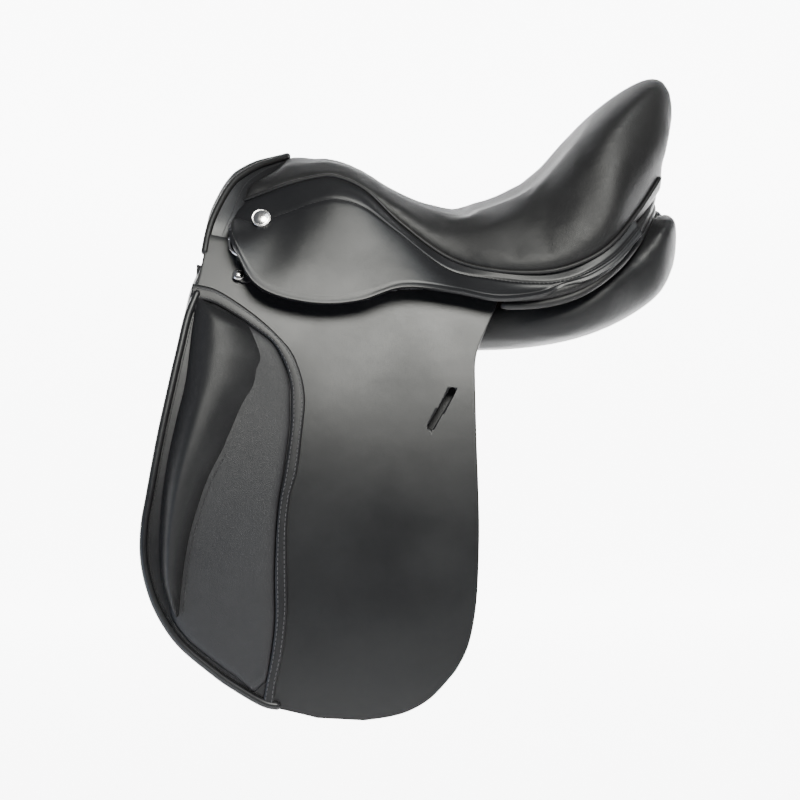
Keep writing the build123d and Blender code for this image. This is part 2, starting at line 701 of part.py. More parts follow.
with BuildPart() as d_ring:
    with BuildLine(ring_plane) as bow:
        Line((RING_HALF, 0), (RING_HALF, -RING_LEG))
        RadiusArc((RING_HALF, -RING_LEG), (-RING_HALF, -RING_LEG), RING_HALF)
        Line((-RING_HALF, -RING_LEG), (-RING_HALF, 0))
    with BuildSketch(Plane(origin=bow.wire() @ 0, z_dir=bow.wire() % 0)):
        Circle(RING_WIRE)
    sweep(path=bow.wire())
    with BuildSketch(Plane.YZ.offset(RING_X - RING_BAR_HALF)):
        with Locations((arc_y(RING_R, RING_Z), RING_Z)):
            Circle(RING_BAR_R)
    extrude(amount=2 * RING_BAR_HALF)
write_pair("d_ring", d_ring)
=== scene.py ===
import bpy
import math
import numpy as np
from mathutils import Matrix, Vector


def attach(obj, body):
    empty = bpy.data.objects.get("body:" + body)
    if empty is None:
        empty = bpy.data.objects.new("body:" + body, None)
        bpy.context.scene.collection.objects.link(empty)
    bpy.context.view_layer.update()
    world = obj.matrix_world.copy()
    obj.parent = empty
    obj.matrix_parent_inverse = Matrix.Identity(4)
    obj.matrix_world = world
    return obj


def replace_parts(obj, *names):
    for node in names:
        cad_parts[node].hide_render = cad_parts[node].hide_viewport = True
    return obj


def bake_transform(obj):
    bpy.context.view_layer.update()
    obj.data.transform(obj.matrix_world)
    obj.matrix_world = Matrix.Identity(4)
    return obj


# English dressage saddle. Points are written in millimetres in the frame of the model and
# turned into metres when a mesh is made. The near side (-Y) is drawn and mirrored to the off side.

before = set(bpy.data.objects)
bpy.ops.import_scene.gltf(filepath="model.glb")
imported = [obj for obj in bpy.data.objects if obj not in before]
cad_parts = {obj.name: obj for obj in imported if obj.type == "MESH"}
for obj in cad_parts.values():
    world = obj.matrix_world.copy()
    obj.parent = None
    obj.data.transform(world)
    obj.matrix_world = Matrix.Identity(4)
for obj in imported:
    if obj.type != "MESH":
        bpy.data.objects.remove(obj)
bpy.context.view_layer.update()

MM = 0.001
# Each side, with the sign that Y takes when the near side is mirrored to it.
SIDES = {"left": 1, "right": -1}

# The side leather hangs as arcs about a line along X.
CURVE_Y, CURVE_Z = 625, -330
FLAP_OUT = 851.5
SKIRT_OUT = 876
SWEAT_OUT = 835

# Points along and across a flap.
ROWS, COLUMNS = 90, 120


# ---------------------------------------------------------------- geometry
def curve(points, count):
    """Evenly spaced points on a smooth curve through these points."""
    dense = smooth(points, 16)
    run = np.concatenate([[0], np.cumsum(np.linalg.norm(np.diff(dense, axis=0), axis=1))])
    at = np.linspace(0, run[-1], count)
    return np.stack([np.interp(at, run, column) for column in dense.T], axis=1)


def smooth(points, steps):
    """Smooth curve through the points, with the same number of steps in every span."""
    p = np.array(points, float)
    ends = np.vstack([2 * p[0] - p[1], p, 2 * p[-1] - p[-2]])
    t = np.linspace(0, 1, steps + 1)[:-1, None]
    spans = []
    for a, b, c, d in zip(ends, ends[1:], ends[2:], ends[3:]):
        cubic = 3 * b - a - 3 * c + d
        spans.append(0.5 * (2 * b + (c - a) * t + (2 * a - 5 * b + 4 * c - d) * t**2 + cubic * t**3))
    return np.vstack([*spans, p[-1:]])


def arc_y(radius, z):
    """Y of the near side's arc of this radius at height z."""
    return CURVE_Y - np.sqrt(np.square(radius) - np.square(z - CURVE_Z))


def on_side(points, radius):
    """Side-view points (x, z) set on the near side's arc."""
    p = np.array(points, float)
    return np.stack([p[..., 0], arc_y(radius, p[..., 1]), p[..., 1]], axis=-1)


def side_normals(points):
    """Outward normals of the near side's arcs at these points."""
    p = np.array(points, float)
    out = np.stack([np.zeros(len(p)), p[:, 1] - CURVE_Y, p[:, 2] - CURVE_Z], axis=1)
    return out / np.linalg.norm(out, axis=1, keepdims=True)


def new_object(name, points, faces, material):
    """Smooth-shaded mesh object from points in millimetres."""
    mesh = bpy.data.meshes.new(name)
    mesh.from_pydata([tuple(p * MM) for p in points], [], faces)
    mesh.validate()
    mesh.polygons.foreach_set("use_smooth", [True] * len(mesh.polygons))
    mesh.materials.append(material)
    obj = bpy.data.objects.new(name, mesh)
    bpy.context.collection.objects.link(obj)
    return obj


def grid(name, rows, material):
    """Surface through rows of points."""
    rows = np.array(rows, float)
    high, wide = rows.shape[:2]
    faces = []
    for i in range(high - 1):
        for j in range(wide - 1):
            k = j + 1
            faces.append((i * wide + j, i * wide + k, (i + 1) * wide + k, (i + 1) * wide + j))
    return new_object(name, rows.reshape(-1, 3), faces, material)


def capped(name, rings, material):
    """Closed body through rings of points, with a fan at each end."""
    rings = np.array(rings, float)
    high, wide = rings.shape[:2]
    points = np.vstack([rings.reshape(-1, 3), rings[0].mean(axis=0), rings[-1].mean(axis=0)])
    faces = []
    for i in range(high - 1):
        for j in range(wide):
            k = (j + 1) % wide
            faces.append((i * wide + j, i * wide + k, (i + 1) * wide + k, (i + 1) * wide + j))
    start, end, last = high * wide, high * wide + 1, (high - 1) * wide
    faces += [(start, (j + 1) % wide, j) for j in range(wide)]
    faces += [(end, last + j, last + (j + 1) % wide) for j in range(wide)]
    return new_object(name, points, faces, material)


def frames_along(path):
    """Tangents and two cross directions along a path, without twist."""
    path = np.array(path, float)
    tangent = np.gradient(path, axis=0)
    tangent /= np.linalg.norm(tangent, axis=1, keepdims=True)
    side = np.cross(tangent[0], (0, 0, 1))
    if np.linalg.norm(side) < 0.1:
        side = np.cross(tangent[0], (0, 1, 0))
    sides = []
    for t in tangent:
        side = side - t * np.dot(side, t)
        side = side / np.linalg.norm(side)
        sides.append(side)
    sides = np.array(sides)
    return tangent, sides, np.cross(tangent, sides)


def tube(name, path, radius, material, around=12):
    """Round cord along a path, a little thinner at its ends."""
    path = np.array(path, float)
    _, u, v = frames_along(path)
    size = np.broadcast_to(np.array(radius, float), len(path)).copy()
    size[0] *= 0.6
    size[-1] *= 0.6
    turn = np.linspace(0, 2 * np.pi, around, endpoint=False)
    rings = [
        p + r * (np.cos(turn)[:, None] * a + np.sin(turn)[:, None] * b)
        for p, a, b, r in zip(path, u, v, size)
    ]
    return capped(name, rings, material)


def mirrored(obj, side, name):
    """The object itself for the near side, or its mirror image for the off side."""
    if side == "left":
        obj.name = obj.data.name = name
        return obj
    twin = obj.copy()
    twin.data = obj.data.copy()
    twin.data.transform(((1, 0, 0, 0), (0, -1, 0, 0), (0, 0, 1, 0), (0, 0, 0, 1)))
    twin.data.flip_normals()
    twin.name = twin.data.name = name
    bpy.context.collection.objects.link(twin)
    return twin


def apply_modifiers(obj):
    """Puts the result of the modifiers into the mesh."""
    bpy.context.view_layer.update()
    made = obj.evaluated_get(bpy.context.evaluated_depsgraph_get())
    mesh = bpy.data.meshes.new_from_object(made)
    obj.modifiers.clear()
    old = obj.data
    obj.data = mesh
    bpy.data.meshes.remove(old)
    mesh.polygons.foreach_set("use_smooth", [True] * len(mesh.polygons))
    return obj


def face_towards(obj, out):
    """Turns a surface's faces so that they look out in this direction on the whole."""
    total = sum((face.normal * face.area for face in obj.data.polygons), Vector())
    if total.dot(Vector(out)) < 0:
        obj.data.flip_normals()


def thicken(obj, thickness, edge=0.0, out=(0, -1, 0)):
    """Gives a leather surface its thickness, inwards, with a softened edge."""
    face_towards(obj, out)
    solid = obj.modifiers.new("thickness", "SOLIDIFY")
    solid.thickness = thickness * MM
    solid.offset = -1
    solid.use_even_offset = False
    if edge:
        bevel = obj.modifiers.new("edge", "BEVEL")
        bevel.width = edge * MM
        bevel.segments = 2
        bevel.limit_method = "ANGLE"
        bevel.angle_limit = math.radians(50)
    return apply_modifiers(obj)


STITCH_LIFT = 0.1


def stitches(name, path, normals, material, pitch=4.6, length=3.5, radius=0.42):
    """Row of thread stitches lying on a surface along a path."""
    path = np.array(path, float)
    run = np.concatenate([[0], np.cumsum(np.linalg.norm(np.diff(path, axis=0), axis=1))])
    at = np.arange(pitch / 2, run[-1] - pitch / 2, pitch)
    spots = np.stack([np.interp(at, run, path[:, k]) for k in range(3)], axis=1)
    ahead = np.stack([np.interp(at + 1, run, path[:, k]) for k in range(3)], axis=1)
    ups = np.stack([np.interp(at, run, normals[:, k]) for k in range(3)], axis=1)
    along = ahead - spots
    along /= np.linalg.norm(along, axis=1, keepdims=True)
    ups /= np.linalg.norm(ups, axis=1, keepdims=True)
    across = np.cross(along, ups)
    stations = np.array([-0.5, -0.36, 0, 0.36, 0.5]) * length
    swell = np.array([0.25, 0.85, 1.0, 0.85, 0.25]) * radius
    around = 6
    turn = np.linspace(0, 2 * np.pi, around, endpoint=False)
    points, faces = [], []
    for spot, t, n, s in zip(spots, along, ups, across):
        base = len(points)
        for station, r in zip(stations, swell):
            centre = spot + t * station + n * (STITCH_LIFT + 0.35 * r)
            points += [centre + r * (math.cos(a) * s + math.sin(a) * n) for a in turn]
        for i in range(len(stations) - 1):
            low, high = base + i * around, base + (i + 1) * around
            for j in range(around):
                k = (j + 1) % around
                faces.append((low + j, low + k, high + k, high + j))
        faces.append(tuple(base + j for j in range(around)))
        faces.append(tuple(high + j for j in reversed(range(around))))
    return new_object(name, points, faces, material)


CLOTH_FRAMES, CLOTH_QUALITY, CLOTH_STIFF = 20, 4, 12


def inflate(obj, voxel, pressure, cap, pinned):
    """Puffs a closed form like stuffed leather, by no more than cap. pinned(points) marks the
    points that stay."""
    remesh = obj.modifiers.new("remesh", "REMESH")
    remesh.mode = "VOXEL"
    remesh.voxel_size = voxel * MM
    apply_modifiers(obj)
    rest = np.empty(len(obj.data.vertices) * 3)
    obj.data.vertices.foreach_get("co", rest)
    rest = rest.reshape(-1, 3)
    stay = pinned(rest / MM)
    group = obj.vertex_groups.new(name="pin")
    group.add([int(i) for i in np.flatnonzero(stay)], 1.0, "REPLACE")
    cloth = obj.modifiers.new("stuffing", "CLOTH")
    cloth.settings.use_pressure = True
    cloth.settings.uniform_pressure_force = pressure
    cloth.settings.vertex_group_mass = "pin"
    cloth.settings.effector_weights.gravity = 0
    cloth.settings.quality = CLOTH_QUALITY
    cloth.settings.tension_stiffness = CLOTH_STIFF
    cloth.settings.compression_stiffness = CLOTH_STIFF
    for step in range(1, CLOTH_FRAMES + 1):
        bpy.context.scene.frame_set(step)
    apply_modifiers(obj)
    obj.vertex_groups.clear()
    moved = np.empty(len(rest) * 3)
    obj.data.vertices.foreach_get("co", moved)
    move = moved.reshape(-1, 3) - rest
    far = np.linalg.norm(move, axis=1, keepdims=True)
    move *= np.minimum(1, cap * MM / np.maximum(far, 1e-9))
    obj.data.vertices.foreach_set("co", (rest + move).ravel())
    bpy.context.scene.frame_set(1)
    relax = obj.modifiers.new("relax", "SMOOTH")
    relax.iterations = 4
    finer = obj.modifiers.new("finer", "SUBSURF")
    finer.levels = finer.render_levels = 1
    return apply_modifiers(obj)


# ---------------------------------------------------------------- materials
def shader(name):
    """New material: its node tree, its main shader, and the object's own coordinates."""
    material = bpy.data.materials.new(name)
    material.use_nodes = True
    tree = material.node_tree
    main = tree.nodes["Principled BSDF"]
    where = tree.nodes.new("ShaderNodeTexCoord").outputs["Object"]
    return material, tree, main, where


def noise(tree, where, scale, detail=3.0):
    """Cloudy noise with this many waves to the metre."""
    node = tree.nodes.new("ShaderNodeTexNoise")
    node.inputs["Scale"].default_value = scale
    node.inputs["Detail"].default_value = detail
    tree.links.new(where, node.inputs["Vector"])
    return node.outputs["Fac"]


def ramp(tree, value, low, high, start=0.0, end=1.0):
    """The value spread from start..end onto low..high."""
    node = tree.nodes.new("ShaderNodeMapRange")
    node.inputs["From Min"].default_value = start
    node.inputs["From Max"].default_value = end
    node.inputs["To Min"].default_value = low
    node.inputs["To Max"].default_value = high
    tree.links.new(value, node.inputs["Value"])
    return node.outputs["Result"]


def tint(tree, value, dark, light):
    """Colour between dark and light by the value."""
    node = tree.nodes.new("ShaderNodeMix")
    node.data_type = "RGBA"
    node.inputs["A"].default_value = (*dark, 1)
    node.inputs["B"].default_value = (*light, 1)
    tree.links.new(value, node.inputs["Factor"])
    return node.outputs["Result"]


def bumped(tree, height, depth, below=None):
    """Normal of a relief of this depth in millimetres, over another relief."""
    node = tree.nodes.new("ShaderNodeBump")
    node.inputs["Strength"].default_value = 1.0
    node.inputs["Distance"].default_value = depth * MM
    tree.links.new(height, node.inputs["Height"])
    if below:
        tree.links.new(below, node.inputs["Normal"])
    return node.outputs["Normal"]


CREASE_DEPTH = 0.25


def leather(name, dark, light, rough, grain, depth, coat=0.0):
    """Leather with a pebble grain of this size and depth in millimetres and faint broad creases."""
    material, tree, main, where = shader(name)
    cells = tree.nodes.new("ShaderNodeTexVoronoi")
    cells.feature = "DISTANCE_TO_EDGE"
    cells.inputs["Scale"].default_value = 1 / (grain * MM)
    tree.links.new(where, cells.inputs["Vector"])
    pebble = ramp(tree, cells.outputs["Distance"], 0, 1, 0, 0.32)
    cloudy = noise(tree, where, 14)
    fine = noise(tree, where, 900, 2)
    broad = noise(tree, where, 38)
    normal = bumped(tree, broad, CREASE_DEPTH)
    normal = bumped(tree, fine, depth * 0.5, normal)
    normal = bumped(tree, pebble, depth, normal)
    tree.links.new(tint(tree, cloudy, dark, light), main.inputs["Base Color"])
    tree.links.new(ramp(tree, cloudy, rough - 0.06, rough + 0.06, 0.3, 0.7), main.inputs["Roughness"])
    tree.links.new(normal, main.inputs["Normal"])
    main.inputs["Specular IOR Level"].default_value = 0.42
    main.inputs["Coat Weight"].default_value = coat
    main.inputs["Coat Roughness"].default_value = 0.35
    return material


def metal(name, dark, light, rough, scratch):
    """Metal with fine marks of this depth in millimetres."""
    material, tree, main, where = shader(name)
    marks = noise(tree, where, 420, 5)
    tree.links.new(tint(tree, marks, dark, light), main.inputs["Base Color"])
    tree.links.new(ramp(tree, marks, rough * 0.7, rough * 1.4, 0.3, 0.7), main.inputs["Roughness"])
    tree.links.new(bumped(tree, marks, scratch), main.inputs["Normal"])
    main.inputs["Metallic"].default_value = 1.0
    return material


def woven(name, dark, light, pitch):
    """Plain weave of this pitch in millimetres, for webbing and thread."""
    material, tree, main, where = shader(name)
    waves = []
    for axis in ("X", "Y"):
        node = tree.nodes.new("ShaderNodeTexWave")
        node.bands_direction = axis
        node.inputs["Scale"].default_value = 0.314 / (pitch * MM)
        tree.links.new(where, node.inputs["Vector"])
        waves.append(node.outputs["Fac"])
    cross = tree.nodes.new("ShaderNodeMath")
    cross.operation = "MULTIPLY"
    tree.links.new(waves[0], cross.inputs[0])
    tree.links.new(waves[1], cross.inputs[1])
    tree.links.new(tint(tree, cross.outputs["Value"], dark, light), main.inputs["Base Color"])
    tree.links.new(bumped(tree, cross.outputs["Value"], 0.3), main.inputs["Normal"])
    main.inputs["Roughness"].default_value = 0.85
    return material


def grained_wood(name):
    """Beech with its grain along X."""
    material, tree, main, where = shader(name)
    stretch = tree.nodes.new("ShaderNodeMapping")
    stretch.inputs["Scale"].default_value = (0.12, 1, 1)
    tree.links.new(where, stretch.inputs["Vector"])
    rings = noise(tree, stretch.outputs["Vector"], 260, 5)
    tree.links.new(tint(tree, rings, (0.36, 0.22, 0.11), (0.62, 0.44, 0.26)), main.inputs["Base Color"])
    tree.links.new(bumped(tree, rings, 0.12), main.inputs["Normal"])
    main.inputs["Roughness"].default_value = 0.55
    return material


def foam(name):
    """Pale foam with open pores."""
    material, tree, main, where = shader(name)
    pores = noise(tree, where, 700, 4)
    tree.links.new(tint(tree, pores, (0.52, 0.49, 0.4), (0.78, 0.75, 0.64)), main.inputs["Base Color"])
    tree.links.new(bumped(tree, pores, 0.4), main.inputs["Normal"])
    main.inputs["Roughness"].default_value = 0.95
    return material


# Strength of the floor's own light low down behind the saddle.
BACK_GLOW = 7.0


def paper(name):
    """Pale studio floor, which glows behind the saddle and fades out higher up."""
    material, tree, main, where = shader(name)
    speck = noise(tree, where, 3)
    tree.links.new(tint(tree, speck, (0.93, 0.93, 0.94), (0.97, 0.97, 0.97)), main.inputs["Base Color"])
    main.inputs["Roughness"].default_value = 0.9
    main.inputs["Emission Color"].default_value = (1, 1, 1, 1)
    apart = tree.nodes.new("ShaderNodeSeparateXYZ")
    tree.links.new(where, apart.inputs["Vector"])
    near = ramp(tree, apart.outputs["Y"], 0.1, 1, 0.3, 1.1)
    low = ramp(tree, apart.outputs["Z"], BACK_GLOW, 0.3, 0.45, 0.75)
    glow = tree.nodes.new("ShaderNodeMath")
    glow.operation = "MULTIPLY"
    tree.links.new(near, glow.inputs[0])
    tree.links.new(low, glow.inputs[1])
    tree.links.new(glow.outputs["Value"], main.inputs["Emission Strength"])
    return material


# Leathers: the darkest and lightest colour, roughness, and size and depth of the grain.
SEAT_LEATHER = leather("seat_leather", (0.009, 0.0088, 0.009), (0.016, 0.0155, 0.016), 0.46, 1.1, 0.07)
FLAP_LEATHER = leather(
    "flap_leather", (0.008, 0.008, 0.009), (0.014, 0.014, 0.015), 0.36, 0.9, 0.035, coat=0.15
)
PAD_LEATHER = leather("pad_leather", (0.016, 0.016, 0.018), (0.028, 0.028, 0.03), 0.47, 1.2, 0.11)
BLOCK_LEATHER = leather(
    "block_leather", (0.008, 0.008, 0.009), (0.015, 0.015, 0.016), 0.47, 1.0, 0.08, coat=0.04
)
PANEL_LEATHER = leather("panel_leather", (0.01, 0.01, 0.011), (0.017, 0.017, 0.018), 0.45, 1.0, 0.06)
EDGE_LEATHER = leather("edge_leather", (0.008, 0.008, 0.009), (0.016, 0.016, 0.017), 0.38, 0.9, 0.04)
THREAD = woven("thread", (0.08, 0.08, 0.085), (0.22, 0.22, 0.23), 0.4)
DARK_THREAD = woven("dark_thread", (0.03, 0.03, 0.032), (0.09, 0.09, 0.095), 0.4)
CHROME = metal("chrome", (0.62, 0.6, 0.58), (0.85, 0.83, 0.81), 0.16, 0.01)
STEEL = metal("steel", (0.3, 0.3, 0.31), (0.55, 0.55, 0.57), 0.35, 0.03)
LINEN = woven("linen", (0.3, 0.27, 0.2), (0.68, 0.63, 0.52), 1.6)
BEECH = grained_wood("beech")
FOAM = foam("foam")

# ---------------------------------------------------------------- inner parts
INNER = {
    "tree": BEECH, "seat_foam": FOAM, "panel_bridge": PANEL_LEATHER, "gullet_plate": STEEL,
    "head_plate": STEEL, "tree_rivets": STEEL, "bar_rivets": STEEL, "catch_pins": STEEL,
    "seat_web": LINEN, "cross_web": LINEN, "girth_web_front": LINEN, "girth_web_rear": LINEN,
}
PAIRED = {
    "spring_bar": STEEL, "stirrup_bar": STEEL, "stirrup_catch": STEEL, "point_pocket": FLAP_LEATHER,
}
INNER |= {f"{node}_{side}": material for node, material in PAIRED.items() for side in SIDES}
for node, material in INNER.items():
    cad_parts[node].data.materials.clear()
    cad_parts[node].data.materials.append(material)

# In metres: where the pull at the front end begins and how far on it is full, along X and up Z,
# and the height that stays where it is.
FRONT_X, FRONT_RUN = -0.2, 0.045
FRONT_Z, FRONT_RISE = 0.13, 0.01
SHRINK_BASE = 0.1
# Shares of the shrinking along X and Z, and of the pull towards the middle and downwards.
SHRINK_X, SHRINK_Z = 0.3, 0.8
PULL_Y, PULL_Z = 10, 0.6


def look_of(node, name):
    """Copy of a node's mesh, to be changed and shown in its place."""
    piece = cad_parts[node].copy()
    piece.data = piece.data.copy()
    piece.name = piece.data.name = name
    bpy.context.collection.objects.link(piece)
    return piece


def drawn_in(node, name, shrink, front):
    """Shows an inner part smaller, with the top of its front end drawn in under the leather."""
    piece = look_of(node, name)
    for vertex in piece.data.vertices:
        forward = min(max((FRONT_X - vertex.co.x) / FRONT_RUN, 0), 1)
        raised = min(max((vertex.co.z - FRONT_Z) / FRONT_RISE, 0), 1)
        pull = front * forward * raised
        above = (vertex.co.z - SHRINK_BASE) * (1 - SHRINK_Z * shrink)
        vertex.co.x = vertex.co.x * (1 - SHRINK_X * shrink) + pull
        vertex.co.y *= 1 - shrink - PULL_Y * pull
        vertex.co.z = SHRINK_BASE + above - PULL_Z * pull
    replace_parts(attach(piece, "saddle"), node)


drawn_in("seat_foam", "seat_filling", 0.05, 0.007)
drawn_in("tree", "tree_looks", 0, 0.014)

# ---------------------------------------------------------------- seat
# Stations along the seat: X, centre height, then crest, rolled edge and welt as Y and Z.
SEAT = [
    (-246, 184, (26, 181), (48, 169), (60, 150)), (-222, 190, (26, 186), (48, 176), (64, 159)),
    (-197, 193, (26, 189), (50, 181), (68, 168.5)), (-170, 193, (28, 191), (52, 186), (71, 175.5)),
    (-148, 187, (30, 188), (56, 186), (74, 176.5)), (-118, 169, (38, 173), (70, 172), (83, 163)),
    (-84, 145, (48, 152), (88, 148), (97, 131)), (-37, 131, (64, 136), (108, 116), (115, 97)),
    (8, 136, (74, 139), (126, 105), (131, 85)), (60, 161, (80, 161), (133, 108), (139, 84)),
    (100, 206, (78, 200), (130, 128), (136, 95)), (130, 240, (70, 230), (117, 160), (123, 113)),
    (160, 264, (54, 254), (82, 207), (90, 143)), (185, 274, (34, 268), (56, 234), (60, 174)),
    (202, 266, (22, 258), (36, 230), (42, 194)),
]
# The seat's front and back ends are cut off along these lines of X and Z.
COVER_FRONT = [(-190, 199), (-204, 182), (-236, 167), (-243, 154), (-246, 120)]
COVER_BACK = [
    (189, 150), (188, 168), (187, 184), (192, 199), (196, 215), (200, 230), (202, 246), (200, 262),
    (192, 275),
]
# The seat's base below its welt, steps between stations, and points over and under a ring.
SEAT_BASE = -16
LOFT_STEPS = 6
OVER_COUNT, UNDER_COUNT = 61, 14


def seat_rings():
    """Closed rings across the seat, from pommel to cantle."""
    controls = []
    for x, top, crest, edge, welt in SEAT:
        shoulder = 0.32 * np.array(crest) + 0.68 * np.array(edge) + (0, 0.09 * math.dist(crest, edge))
        flank = 0.55 * np.array(edge) + 0.45 * np.array(welt) + (0.1 * math.dist(edge, welt), 0)
        near = [(x, -y, z) for y, z in (crest, shoulder, edge, flank, welt)]
        near.append((x, -welt[0] + 5, welt[1] + SEAT_BASE))
        far = [(px, -py, pz) for px, py, pz in near]
        controls.append([*reversed(far), (x, 0, top), *near])
    controls = np.array(controls, float)
    rails = np.stack([smooth(controls[:, k], LOFT_STEPS) for k in range(controls.shape[1])], axis=1)
    rings = []
    for row in rails:
        over = curve(row, OVER_COUNT)
        under = np.linspace(row[-1], row[0], UNDER_COUNT)[1:-1]
        rings.append(np.vstack([over, under]))
    rings = np.array(rings)
    front_x, front_z = zip(*reversed(COVER_FRONT))
    back_x, back_z = zip(*COVER_BACK)
    front = np.interp(rings[..., 2], front_z, front_x)
    back = np.interp(rings[..., 2], back_z, back_x)
    rings[..., 0] = np.clip(rings[..., 0], front, back)
    return rings


def seat_rail(column):
    """Smooth near-side line along one of the seat's rails: 2 crest, 3 rolled edge, 4 welt."""
    points = [(s[0], -s[column][0], s[column][1]) for s in SEAT]
    return smooth(points, LOFT_STEPS)


def low_on_seat(points):
    """The seat's edge below the welt and its underside."""
    welt = seat_rail(4)
    return points[:, 2] < np.interp(points[:, 0], welt[:, 0], welt[:, 2]) + 3


seat = capped("seat", seat_rings(), SEAT_LEATHER)
inflate(seat, 5, 2.0, 3.5, low_on_seat)
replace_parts(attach(seat, "saddle"), "seat_cover")

# ---------------------------------------------------------------- welts
WELT = [(-243, -62, 150.5)] + [(x, -(w[0] + 2.2), w[1] - 0.5) for x, _, _, _, w in SEAT[1:-1]]
welt_path = curve(WELT, 150)
welt_near = tube("welt", welt_path, 2.1, SEAT_LEATHER)

# ---------------------------------------------------------------- skirts
# Rails of the skirt from front to rear: under the welt, the stitched seam, the crown and the
# lower edge, which lies on the arc as far as its tail.
SKIRT_WELT = [
    (-243, -63, 148.5), (-222, -67, 157), (-197, -71, 166.5), (-170, -74, 173.5),
    (-148, -77, 174.5), (-118, -86, 161), (-84, -100, 129), (-37, -118, 95), (8, -134, 83),
    (47, -141, 79.5), (74, -141.5, 82), (100, -139, 91), (128, -127, 108), (154, -103, 132),
]
SKIRT_STITCH = [
    (-250, -84, 137), (-228, -100, 132), (-198, -100, 141), (-171, -101, 150.7),
    (-148, -103, 154.5), (-121, -107, 147), (-88, -115, 123), (-38, -129, 86), (8, -138.5, 76.5),
    (47, -145.5, 73), (75, -147, 75), (102, -144, 84), (131, -131, 101), (157, -108, 126),
]
SKIRT_CROWN = [
    (-254, -112, 131), (-243, -126.5, 113), (-216, -132, 101), (-184, -136, 100), (-152, -137, 100),
    (-120, -137, 99), (-82, -139, 92), (-32, -145, 74), (8, -148.5, 67.5), (47, -149.5, 67),
    (75, -149.5, 71), (103, -147, 80), (132, -134.5, 97), (159, -111, 122),
]
SKIRT_LOW = [
    (-253, 123), (-246.5, 102), (-232, 76), (-206, 62), (-165, 55), (-126, 58), (-84, 70),
    (-32, 66), (9, 58.5), (48, 61.5),
]
SKIRT_TAIL = [(75, -150.5, 68.5), (104, -148.5, 77.5), (133, -136, 94), (160, -113, 119)]
SKIRT_ROWS = 64
# Grooves along the seam and the lower edge: depth, width, and distance from the edge.
SEAM_GROOVE, SEAM_WIDE = 1.0, 1.8
EDGE_GROOVE, EDGE_WIDE, EDGE_IN = 0.5, 1.0, 5


def skirt_surface():
    """The skirt in rows from its welt to its lower edge, and its seam's points and normals."""
    rails = [SKIRT_WELT, SKIRT_STITCH, SKIRT_CROWN, [*on_side(SKIRT_LOW, SKIRT_OUT), *SKIRT_TAIL]]
    rails = [smooth(rail, 14) for rail in rails]
    columns, seam = [], []
    for stations in zip(*rails):
        column = curve(stations, SKIRT_ROWS)
        distance = np.linalg.norm(column - stations[1], axis=1)
        tangent = np.gradient(column, axis=0)
        inward = np.cross(tangent, (1, 0, 0))
        inward /= np.linalg.norm(inward, axis=1, keepdims=True)
        inward *= np.sign(inward[:, 1:2] + 1e-9)
        to_edge = np.linalg.norm(column - stations[3], axis=1)
        groove = SEAM_GROOVE * np.exp(-((distance / SEAM_WIDE) ** 2))
        groove += EDGE_GROOVE * np.exp(-(((to_edge - EDGE_IN) / EDGE_WIDE) ** 2))
        column = column + inward * groove[:, None]
        columns.append(column)
        seam.append((stations[1], -inward[distance.argmin()]))
    return np.array(columns).transpose(1, 0, 2), seam


skirt_rows, skirt_seam_line = skirt_surface()
skirt_near = thicken(grid("skirt", skirt_rows, FLAP_LEATHER), 3.8, 0.9)

# ---------------------------------------------------------------- flaps
FLAP_FRONT = [
    (-279, 120), (-281, 104), (-285, 84), (-290, 66), (-300, 42), (-307, 14), (-314, -15),
    (-327, -72), (-338, -129), (-343, -157), (-344, -186), (-339, -215), (-328, -244), (-308, -274),
    (-275, -303), (-253, -319), (-226, -335), (-209, -339), (-189, -344), (-172, -348.5),
]
FLAP_REAR = [
    (11, 60), (12, 54), (2, 33), (-8, 12), (-12, -2), (-13, -17), (-13, -74), (-12, -131),
    (-12, -174), (-15, -233), (-22, -273), (-32, -296), (-42, -310), (-61, -330), (-81, -342),
    (-101, -348), (-126, -351.5),
]
# The keeper's slot: its two ends in side view, its width, and the cut's run in Y.
KEEPER, KEEPER_WIDE = ((-58, -66), (-36, -32)), 7
SLOT_REACH = (-280, -120)
# The flap's waves begin at this height and are full this much lower.
WAVE_TOP, WAVE_FADE = 60, 90


def flap_surface(front, rear, radius, sway=0.0):
    """Leather between its front and rear edge, in rows from top to bottom, with waves this high."""
    left, right = curve(front, ROWS), curve(rear, ROWS)
    across = np.linspace(0, 1, COLUMNS)[:, None]
    rows = np.array([a + (b - a) * across for a, b in zip(left, right)])
    fade = np.clip((WAVE_TOP - rows[..., 1]) / WAVE_FADE, 0, 1)
    wave = sway * np.sin(rows[..., 0] / 46 + rows[..., 1] / 83) * fade
    return on_side(rows, radius + wave)


def cut_slot(obj, ends, width):
    """Cuts a slot with round ends through the leather."""
    a, b = (np.array(p, float) for p in ends)
    along = (b - a) / np.linalg.norm(b - a)
    across = np.array((-along[1], along[0])) * width / 2
    turn = np.linspace(-np.pi / 2, np.pi / 2, 9)
    rim = [b + along * width / 2 * math.cos(t) - across * math.sin(t) for t in turn]
    rim += [a - along * width / 2 * math.cos(t) + across * math.sin(t) for t in turn]
    cutter = capped("cutter", [[(x, y, z) for x, z in rim] for y in SLOT_REACH], FLAP_LEATHER)
    cut = obj.modifiers.new("slot", "BOOLEAN")
    cut.operation = "DIFFERENCE"
    cut.solver = "EXACT"
    cut.object = cutter
    apply_modifiers(obj)
    bpy.data.objects.remove(cutter)
    return obj


flap_rows = flap_surface(FLAP_FRONT, FLAP_REAR, FLAP_OUT, 0.7)
flap_near = cut_slot(thicken(grid("flap", flap_rows, FLAP_LEATHER), 4.2, 0.8), KEEPER, KEEPER_WIDE)

front_edge = curve(FLAP_FRONT[3:18], 220)


